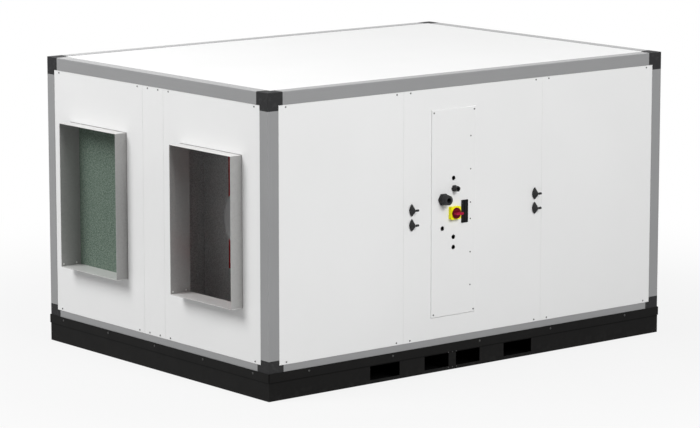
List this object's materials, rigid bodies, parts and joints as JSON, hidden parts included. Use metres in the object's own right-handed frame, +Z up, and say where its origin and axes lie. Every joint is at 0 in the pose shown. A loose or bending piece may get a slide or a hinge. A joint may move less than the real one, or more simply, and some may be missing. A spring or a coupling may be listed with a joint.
{
  "type": "air handling unit",
  "caption": "Box-shaped air handling unit with a profile frame, flush panels, rectangular duct collars at both ends, plug fans, a front control plate and a base frame with fork pockets.",
  "frame": {"origin": "on the floor, in the middle of the overall outline from the isolator knob in front to the base lip behind", "axes": "+X along the casing to the right, +Y from the front with the controls to the rear, +Z up"},
  "size_m": [2.564, 1.8026, 1.4],
  "materials": {
    "base_black": "satin black powder coat",
    "profile_grey": "satin grey anodised extrusion",
    "corner_grey": "dark grey moulded plastic",
    "panel_white": "satin white coated sheet",
    "zinc_sheet": "galvanised sheet",
    "filter_green": "fibrous filter mat",
    "inner_grey": "grey coated sheet",
    "fan_red": "red coated sheet",
    "motor_black": "black coated casting",
    "impeller_grey": "mill finish sheet",
    "isolator_yellow": "yellow moulded plastic",
    "isolator_red": "red moulded plastic",
    "black_plastic": "black moulded plastic"
  },
  "bodies": {
    "casing": {"base_front_rail": "base_black", "base_rear_rail": "base_black", "base_left_rail": "base_black", "base_right_rail": "base_black", "base_cross_member": "base_black", "corner_posts": "profile_grey", "long_rails": "profile_grey", "short_rails": "profile_grey", "top_corners": "corner_grey", "bottom_corners": "corner_grey", "floor_panel": "panel_white", "roof_panel": "panel_white", "front_left_panel": "panel_white", "front_middle_panel": "panel_white", "front_right_panel": "panel_white", "rear_left_panel": "panel_white", "rear_middle_panel": "panel_white", "rear_right_panel": "panel_white", "left_intake_panel": "panel_white", "left_outlet_panel": "panel_white", "right_intake_panel": "panel_white", "right_outlet_panel": "panel_white", "centre_strips": "panel_white", "left_intake_collar": "zinc_sheet", "left_outlet_collar": "zinc_sheet", "right_intake_collar": "zinc_sheet", "right_outlet_collar": "zinc_sheet", "filters": "filter_green", "divider": "inner_grey", "bulkheads": "inner_grey", "fan_plates": "fan_red", "fan_brackets": "zinc_sheet", "fan_motors": "motor_black", "right_fan_impeller": "impeller_grey", "control_plate": "panel_white", "isolator_plate": "isolator_yellow", "connector": "black_plastic", "cable_glands": "black_plastic", "latch_rosettes": "black_plastic"},
    "isolator": {"isolator_knob": "isolator_red"},
    "upper_left_latch": {"latch_upper_left": "black_plastic"},
    "lower_left_latch": {"latch_lower_left": "black_plastic"},
    "upper_right_latch": {"latch_upper_right": "black_plastic"},
    "lower_right_latch": {"latch_lower_right": "black_plastic"},
    "left_fan": {"left_fan_impeller": "impeller_grey"}
  },
  "joints": [
    {"name": "isolator_turn", "type": "hinge", "parent": "casing", "child": "isolator", "pos_m": [-0.13, -0.86225, 0.748], "axis": [0, 1, 0], "range_deg": [0, 90]},
    {"name": "upper_left_latch_turn", "type": "hinge", "parent": "casing", "child": "upper_left_latch", "pos_m": [-0.383, -0.848, 0.785], "axis": [0, 1, 0], "range_deg": [0, 90]},
    {"name": "lower_left_latch_turn", "type": "hinge", "parent": "casing", "child": "lower_left_latch", "pos_m": [-0.383, -0.848, 0.715], "axis": [0, 1, 0], "range_deg": [0, 90]},
    {"name": "upper_right_latch_turn", "type": "hinge", "parent": "casing", "child": "upper_right_latch", "pos_m": [0.383, -0.848, 0.785], "axis": [0, 1, 0], "range_deg": [0, 90]},
    {"name": "lower_right_latch_turn", "type": "hinge", "parent": "casing", "child": "lower_right_latch", "pos_m": [0.383, -0.848, 0.715], "axis": [0, 1, 0], "range_deg": [0, 90]},
    {"name": "left_fan_spin", "type": "hinge", "parent": "casing", "child": "left_fan", "pos_m": [-1, -0.42225, 0.75], "axis": [1, 0, 0], "continuous": true}
  ]
}
